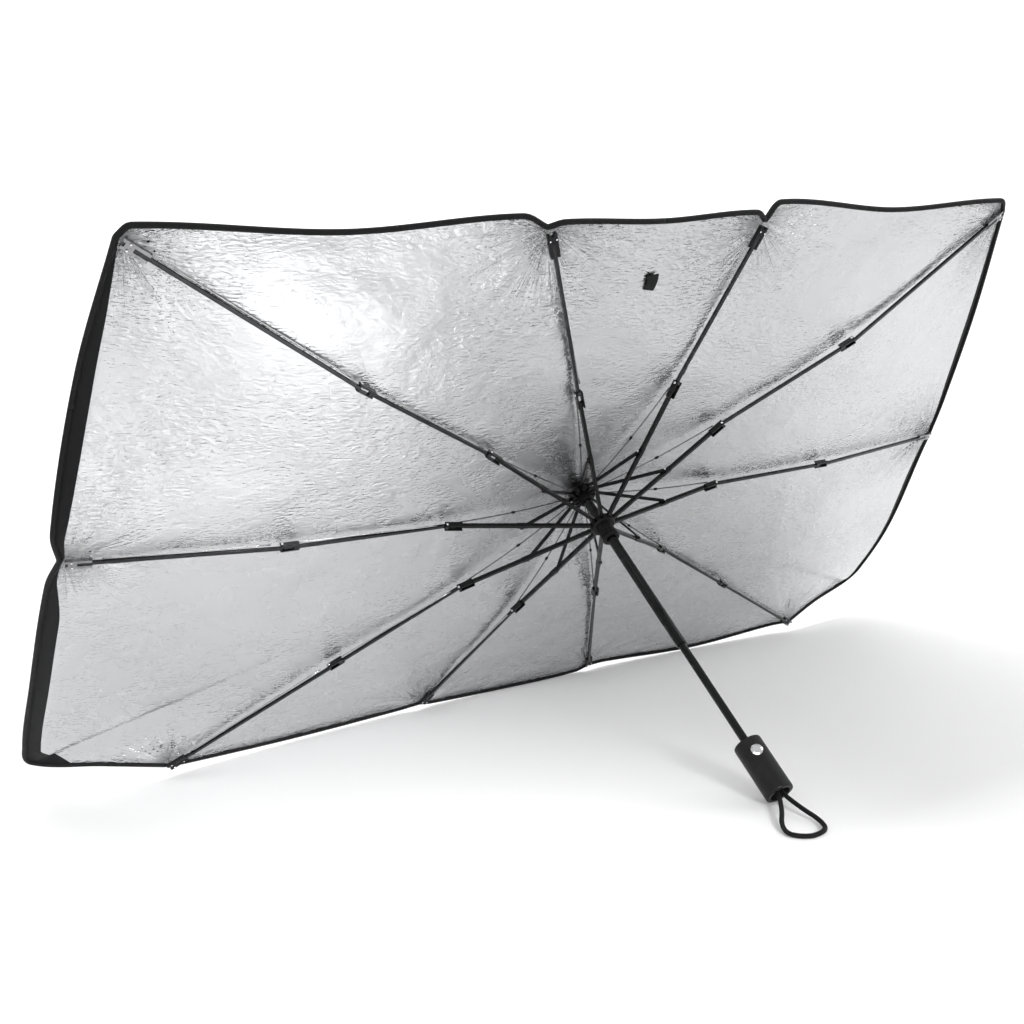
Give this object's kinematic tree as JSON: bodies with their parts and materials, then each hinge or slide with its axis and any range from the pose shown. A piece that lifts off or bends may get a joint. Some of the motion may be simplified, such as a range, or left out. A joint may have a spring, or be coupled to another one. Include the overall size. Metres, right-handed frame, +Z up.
{
  "type": "umbrella sunshade",
  "caption": "Rectangular umbrella sunshade with a silver lining, folding ribs and a telescopic shaft with a push-button handle and wrist loop, standing open on its lower edge.",
  "frame": {"origin": "centre of the box of the standing object at floor level, without the wrist loop", "axes": "+X along the canopy's length, +Z up, silver side and handle towards -Y"},
  "size_m": [1.4356, 0.7852, 0.6588],
  "materials": {
    "black_metal": "satin",
    "rib_metal": "satin",
    "clip_plastic": "satin",
    "shaft_metal": "gloss",
    "hub_plastic": "satin",
    "handle_plastic": "satin",
    "button_chrome": "polished",
    "silver_fabric": "metallised, satin",
    "piping": "matte",
    "cord": "matte",
    "strap": "matte"
  },
  "bodies": {
    "root": {"crown": "hub_plastic", "top_cap": "hub_plastic", "upper_tube": "shaft_metal", "canopy": "silver_fabric", "edge_piping": "piping", "hook_loop_strap": "strap"},
    "runner": {"runner": "hub_plastic"},
    "strut_right_side": {"strut_right_side": "black_metal"},
    "stretcher_right_side": {"stretcher_right_side": "black_metal"},
    "middle_right_side": {"middle_rib_right_side": "rib_metal"},
    "outer_right_side": {"outer_rib_right_side": "rib_metal", "tip_clip_right_side": "clip_plastic"},
    "strut_left_side": {"strut_left_side": "black_metal"},
    "stretcher_left_side": {"stretcher_left_side": "black_metal"},
    "middle_left_side": {"middle_rib_left_side": "rib_metal"},
    "outer_left_side": {"outer_rib_left_side": "rib_metal", "tip_clip_left_side": "clip_plastic"},
    "strut_right_upper": {"strut_right_upper": "black_metal"},
    "stretcher_right_upper": {"stretcher_right_upper": "black_metal"},
    "middle_right_upper": {"middle_rib_right_upper": "rib_metal"},
    "outer_right_upper": {"outer_rib_right_upper": "rib_metal", "tip_clip_right_upper": "clip_plastic"},
    "strut_left_upper": {"strut_left_upper": "black_metal"},
    "stretcher_left_upper": {"stretcher_left_upper": "black_metal"},
    "middle_left_upper": {"middle_rib_left_upper": "rib_metal"},
    "outer_left_upper": {"outer_rib_left_upper": "rib_metal", "tip_clip_left_upper": "clip_plastic"},
    "strut_right_top": {"strut_right_top": "black_metal"},
    "stretcher_right_top": {"stretcher_right_top": "black_metal"},
    "outer_right_top": {"outer_rib_right_top": "rib_metal", "tip_clip_right_top": "clip_plastic"},
    "strut_left_top": {"strut_left_top": "black_metal"},
    "stretcher_left_top": {"stretcher_left_top": "black_metal"},
    "outer_left_top": {"outer_rib_left_top": "rib_metal", "tip_clip_left_top": "clip_plastic"},
    "strut_right_lower": {"strut_right_lower": "black_metal"},
    "stretcher_right_lower": {"stretcher_right_lower": "black_metal"},
    "middle_right_lower": {"middle_rib_right_lower": "rib_metal"},
    "outer_right_lower": {"outer_rib_right_lower": "rib_metal", "tip_clip_right_lower": "clip_plastic"},
    "strut_left_lower": {"strut_left_lower": "black_metal"},
    "stretcher_left_lower": {"stretcher_left_lower": "black_metal"},
    "middle_left_lower": {"middle_rib_left_lower": "rib_metal"},
    "outer_left_lower": {"outer_rib_left_lower": "rib_metal", "tip_clip_left_lower": "clip_plastic"},
    "strut_right_bottom": {"strut_right_bottom": "black_metal"},
    "stretcher_right_bottom": {"stretcher_right_bottom": "black_metal"},
    "outer_right_bottom": {"outer_rib_right_bottom": "rib_metal", "tip_clip_right_bottom": "clip_plastic"},
    "strut_left_bottom": {"strut_left_bottom": "black_metal"},
    "stretcher_left_bottom": {"stretcher_left_bottom": "black_metal"},
    "outer_left_bottom": {"outer_rib_left_bottom": "rib_metal", "tip_clip_left_bottom": "clip_plastic"},
    "handle": {"lower_tube": "shaft_metal", "handle": "handle_plastic", "wrist_loop": "cord"},
    "button": {"push_button": "button_chrome"}
  },
  "joints": [
    {"name": "runner_slide", "type": "slide", "parent": "root", "child": "runner", "axis": [0, -0.7531, -0.6579], "range_m": [0, 0.14], "deforming": ["canopy", "edge_piping", "hook_loop_strap"]},
    {"name": "strut_hinge_right_side", "type": "hinge", "parent": "root", "child": "strut_right_side", "pos_m": [0.01188, 0.019, 0.32586], "axis": [0, 0.6579, -0.7531], "range_deg": [0, 59.3]},
    {"name": "stretcher_hinge_right_side", "type": "hinge", "parent": "runner", "child": "stretcher_right_side", "pos_m": [0.01188, -0.02393, 0.28836], "axis": [0, -0.6579, 0.7531], "range_deg": [0, 68.1]},
    {"name": "middle_hinge_right_side", "type": "hinge", "parent": "stretcher_right_side", "child": "middle_right_side", "pos_m": [0.20438, 0.00469, 0.31336], "axis": [0, 0.6579, -0.7531], "range_deg": [0, 157.5]},
    {"name": "outer_hinge_right_side", "type": "hinge", "parent": "middle_right_side", "child": "outer_right_side", "pos_m": [0.41037, 0.01222, 0.31994], "axis": [0, -0.6579, 0.7531], "range_deg": [0, 169]},
    {"name": "strut_hinge_left_side", "type": "hinge", "parent": "root", "child": "strut_left_side", "pos_m": [-0.01312, 0.019, 0.32586], "axis": [0, -0.6579, 0.7531], "range_deg": [0, 59.3]},
    {"name": "stretcher_hinge_left_side", "type": "hinge", "parent": "runner", "child": "stretcher_left_side", "pos_m": [-0.01312, -0.02393, 0.28836], "axis": [0, 0.6579, -0.7531], "range_deg": [0, 68.1]},
    {"name": "middle_hinge_left_side", "type": "hinge", "parent": "stretcher_left_side", "child": "middle_left_side", "pos_m": [-0.20563, 0.00469, 0.31336], "axis": [0, -0.6579, 0.7531], "range_deg": [0, 157.5]},
    {"name": "outer_hinge_left_side", "type": "hinge", "parent": "middle_left_side", "child": "outer_left_side", "pos_m": [-0.41163, 0.01222, 0.31994], "axis": [0, 0.6579, -0.7531], "range_deg": [0, 169]},
    {"name": "strut_hinge_right_upper", "type": "hinge", "parent": "root", "child": "strut_right_upper", "pos_m": [0.0098, 0.01446, 0.33105], "axis": [0.5519, 0.5486, -0.628], "range_deg": [0, 59.3]},
    {"name": "stretcher_hinge_right_upper", "type": "hinge", "parent": "runner", "child": "stretcher_right_upper", "pos_m": [0.0098, -0.02847, 0.29356], "axis": [-0.5519, -0.5486, 0.628], "range_deg": [0, 68.1]},
    {"name": "middle_hinge_right_upper", "type": "hinge", "parent": "stretcher_right_upper", "child": "middle_right_upper", "pos_m": [0.17032, -0.06975, 0.39857], "axis": [0.5519, 0.5486, -0.628], "range_deg": [0, 157.5]},
    {"name": "outer_hinge_right_upper", "type": "hinge", "parent": "middle_right_upper", "child": "outer_right_upper", "pos_m": [0.3421, -0.13702, 0.49078], "axis": [-0.5519, -0.5486, 0.628], "range_deg": [0, 163.9]},
    {"name": "strut_hinge_left_upper", "type": "hinge", "parent": "root", "child": "strut_left_upper", "pos_m": [-0.01105, 0.01446, 0.33105], "axis": [0.5519, -0.5486, 0.628], "range_deg": [0, 59.3]},
    {"name": "stretcher_hinge_left_upper", "type": "hinge", "parent": "runner", "child": "stretcher_left_upper", "pos_m": [-0.01105, -0.02847, 0.29356], "axis": [-0.5519, 0.5486, -0.628], "range_deg": [0, 68.1]},
    {"name": "middle_hinge_left_upper", "type": "hinge", "parent": "stretcher_left_upper", "child": "middle_left_upper", "pos_m": [-0.17157, -0.06975, 0.39857], "axis": [0.5519, -0.5486, 0.628], "range_deg": [0, 157.5]},
    {"name": "outer_hinge_left_upper", "type": "hinge", "parent": "middle_left_upper", "child": "outer_left_upper", "pos_m": [-0.34335, -0.13702, 0.49078], "axis": [-0.5519, 0.5486, -0.628], "range_deg": [0, 163.9]},
    {"name": "strut_hinge_right_top", "type": "hinge", "parent": "root", "child": "strut_right_top", "pos_m": [0.00365, 0.01127, 0.3347], "axis": [0.9397, 0.225, -0.2576], "range_deg": [0, 59.3]},
    {"name": "stretcher_hinge_right_top", "type": "hinge", "parent": "runner", "child": "stretcher_right_top", "pos_m": [0.00365, -0.03166, 0.2972], "axis": [-0.9397, -0.225, 0.2576], "range_deg": [0, 68.1]},
    {"name": "outer_hinge_right_top", "type": "hinge", "parent": "stretcher_right_top", "child": "outer_right_top", "pos_m": [0.06949, -0.12205, 0.45843], "axis": [0.9397, 0.225, -0.2576], "range_deg": [0, 164.9]},
    {"name": "strut_hinge_left_top", "type": "hinge", "parent": "root", "child": "strut_left_top", "pos_m": [-0.0049, 0.01127, 0.3347], "axis": [0.9397, -0.225, 0.2576], "range_deg": [0, 59.3]},
    {"name": "stretcher_hinge_left_top", "type": "hinge", "parent": "runner", "child": "stretcher_left_top", "pos_m": [-0.0049, -0.03166, 0.2972], "axis": [-0.9397, 0.225, -0.2576], "range_deg": [0, 68.1]},
    {"name": "outer_hinge_left_top", "type": "hinge", "parent": "stretcher_left_top", "child": "outer_left_top", "pos_m": [-0.07074, -0.12205, 0.45843], "axis": [0.9397, -0.225, 0.2576], "range_deg": [0, 164.9]},
    {"name": "strut_hinge_right_lower", "type": "hinge", "parent": "root", "child": "strut_right_lower", "pos_m": [0.00936, 0.02395, 0.32019], "axis": [-0.6018, 0.5254, -0.6015], "range_deg": [0, 59.3]},
    {"name": "stretcher_hinge_right_lower", "type": "hinge", "parent": "runner", "child": "stretcher_right_lower", "pos_m": [0.00936, -0.01898, 0.28269], "axis": [0.6018, -0.5254, 0.6015], "range_deg": [0, 68.1]},
    {"name": "middle_hinge_right_lower", "type": "hinge", "parent": "stretcher_right_lower", "child": "middle_right_lower", "pos_m": [0.16309, 0.08586, 0.22045], "axis": [-0.6018, 0.5254, -0.6015], "range_deg": [0, 157.5]},
    {"name": "outer_hinge_right_lower", "type": "hinge", "parent": "middle_right_lower", "child": "outer_right_lower", "pos_m": [0.32761, 0.17495, 0.13366], "axis": [0.6018, -0.5254, 0.6015], "range_deg": [0, 173.8]},
    {"name": "strut_hinge_left_lower", "type": "hinge", "parent": "root", "child": "strut_left_lower", "pos_m": [-0.01061, 0.02395, 0.32019], "axis": [-0.6018, -0.5254, 0.6015], "range_deg": [0, 59.3]},
    {"name": "stretcher_hinge_left_lower", "type": "hinge", "parent": "runner", "child": "stretcher_left_lower", "pos_m": [-0.01061, -0.01898, 0.28269], "axis": [0.6018, 0.5254, -0.6015], "range_deg": [0, 68.1]},
    {"name": "middle_hinge_left_lower", "type": "hinge", "parent": "stretcher_left_lower", "child": "middle_left_lower", "pos_m": [-0.16434, 0.08586, 0.22045], "axis": [-0.6018, -0.5254, 0.6015], "range_deg": [0, 157.5]},
    {"name": "outer_hinge_left_lower", "type": "hinge", "parent": "middle_left_lower", "child": "outer_left_lower", "pos_m": [-0.32886, 0.17495, 0.13366], "axis": [0.6018, 0.5254, -0.6015], "range_deg": [0, 173.8]},
    {"name": "strut_hinge_right_bottom", "type": "hinge", "parent": "root", "child": "strut_right_bottom", "pos_m": [0.0034, 0.02678, 0.31695], "axis": [-0.9466, 0.212, -0.2427], "range_deg": [0, 59.3]},
    {"name": "stretcher_hinge_right_bottom", "type": "hinge", "parent": "runner", "child": "stretcher_right_bottom", "pos_m": [0.0034, -0.01614, 0.27945], "axis": [0.9466, -0.212, 0.2427], "range_deg": [0, 68.1]},
    {"name": "outer_hinge_right_bottom", "type": "hinge", "parent": "stretcher_right_bottom", "child": "outer_right_bottom", "pos_m": [0.06544, 0.13236, 0.16721], "axis": [-0.9466, 0.212, -0.2427], "range_deg": [0, 165.7]},
    {"name": "strut_hinge_left_bottom", "type": "hinge", "parent": "root", "child": "strut_left_bottom", "pos_m": [-0.00465, 0.02678, 0.31695], "axis": [-0.9466, -0.212, 0.2427], "range_deg": [0, 59.3]},
    {"name": "stretcher_hinge_left_bottom", "type": "hinge", "parent": "runner", "child": "stretcher_left_bottom", "pos_m": [-0.00465, -0.01614, 0.27945], "axis": [0.9466, 0.212, -0.2427], "range_deg": [0, 68.1]},
    {"name": "outer_hinge_left_bottom", "type": "hinge", "parent": "stretcher_left_bottom", "child": "outer_left_bottom", "pos_m": [-0.06669, 0.13236, 0.16721], "axis": [-0.9466, -0.212, 0.2427], "range_deg": [0, 165.7]},
    {"name": "shaft_telescope", "type": "slide", "parent": "root", "child": "handle", "axis": [0, 0.7531, 0.6579], "range_m": [0, 0.14]},
    {"name": "button_press", "type": "slide", "parent": "handle", "child": "button", "axis": [0.2924, 0.6292, -0.7202], "range_m": [0, 0.002], "stiffness_N_per_m": 300, "springref_m": -0.002}
  ],
  "couplings": [
    {"joint": "strut_hinge_right_side", "follows": "runner_slide", "rad_per_m": 7.392},
    {"joint": "stretcher_hinge_right_side", "follows": "runner_slide", "rad_per_m": 8.4889},
    {"joint": "middle_hinge_right_side", "follows": "runner_slide", "rad_per_m": 19.633},
    {"joint": "outer_hinge_right_side", "follows": "runner_slide", "rad_per_m": 21.067},
    {"joint": "strut_hinge_left_side", "follows": "runner_slide", "rad_per_m": 7.392},
    {"joint": "stretcher_hinge_left_side", "follows": "runner_slide", "rad_per_m": 8.4889},
    {"joint": "middle_hinge_left_side", "follows": "runner_slide", "rad_per_m": 19.633},
    {"joint": "outer_hinge_left_side", "follows": "runner_slide", "rad_per_m": 21.067},
    {"joint": "strut_hinge_right_upper", "follows": "runner_slide", "rad_per_m": 7.392},
    {"joint": "stretcher_hinge_right_upper", "follows": "runner_slide", "rad_per_m": 8.4889},
    {"joint": "middle_hinge_right_upper", "follows": "runner_slide", "rad_per_m": 19.633},
    {"joint": "outer_hinge_right_upper", "follows": "runner_slide", "rad_per_m": 20.431},
    {"joint": "strut_hinge_left_upper", "follows": "runner_slide", "rad_per_m": 7.392},
    {"joint": "stretcher_hinge_left_upper", "follows": "runner_slide", "rad_per_m": 8.4889},
    {"joint": "middle_hinge_left_upper", "follows": "runner_slide", "rad_per_m": 19.633},
    {"joint": "outer_hinge_left_upper", "follows": "runner_slide", "rad_per_m": 20.431},
    {"joint": "strut_hinge_right_top", "follows": "runner_slide", "rad_per_m": 7.392},
    {"joint": "stretcher_hinge_right_top", "follows": "runner_slide", "rad_per_m": 8.4889},
    {"joint": "outer_hinge_right_top", "follows": "runner_slide", "rad_per_m": 20.555},
    {"joint": "strut_hinge_left_top", "follows": "runner_slide", "rad_per_m": 7.392},
    {"joint": "stretcher_hinge_left_top", "follows": "runner_slide", "rad_per_m": 8.4889},
    {"joint": "outer_hinge_left_top", "follows": "runner_slide", "rad_per_m": 20.555},
    {"joint": "strut_hinge_right_lower", "follows": "runner_slide", "rad_per_m": 7.392},
    {"joint": "stretcher_hinge_right_lower", "follows": "runner_slide", "rad_per_m": 8.4889},
    {"joint": "middle_hinge_right_lower", "follows": "runner_slide", "rad_per_m": 19.633},
    {"joint": "outer_hinge_right_lower", "follows": "runner_slide", "rad_per_m": 21.665},
    {"joint": "strut_hinge_left_lower", "follows": "runner_slide", "rad_per_m": 7.392},
    {"joint": "stretcher_hinge_left_lower", "follows": "runner_slide", "rad_per_m": 8.4889},
    {"joint": "middle_hinge_left_lower", "follows": "runner_slide", "rad_per_m": 19.633},
    {"joint": "outer_hinge_left_lower", "follows": "runner_slide", "rad_per_m": 21.665},
    {"joint": "strut_hinge_right_bottom", "follows": "runner_slide", "rad_per_m": 7.392},
    {"joint": "stretcher_hinge_right_bottom", "follows": "runner_slide", "rad_per_m": 8.4889},
    {"joint": "outer_hinge_right_bottom", "follows": "runner_slide", "rad_per_m": 20.655},
    {"joint": "strut_hinge_left_bottom", "follows": "runner_slide", "rad_per_m": 7.392},
    {"joint": "stretcher_hinge_left_bottom", "follows": "runner_slide", "rad_per_m": 8.4889},
    {"joint": "outer_hinge_left_bottom", "follows": "runner_slide", "rad_per_m": 20.655}
  ]
}
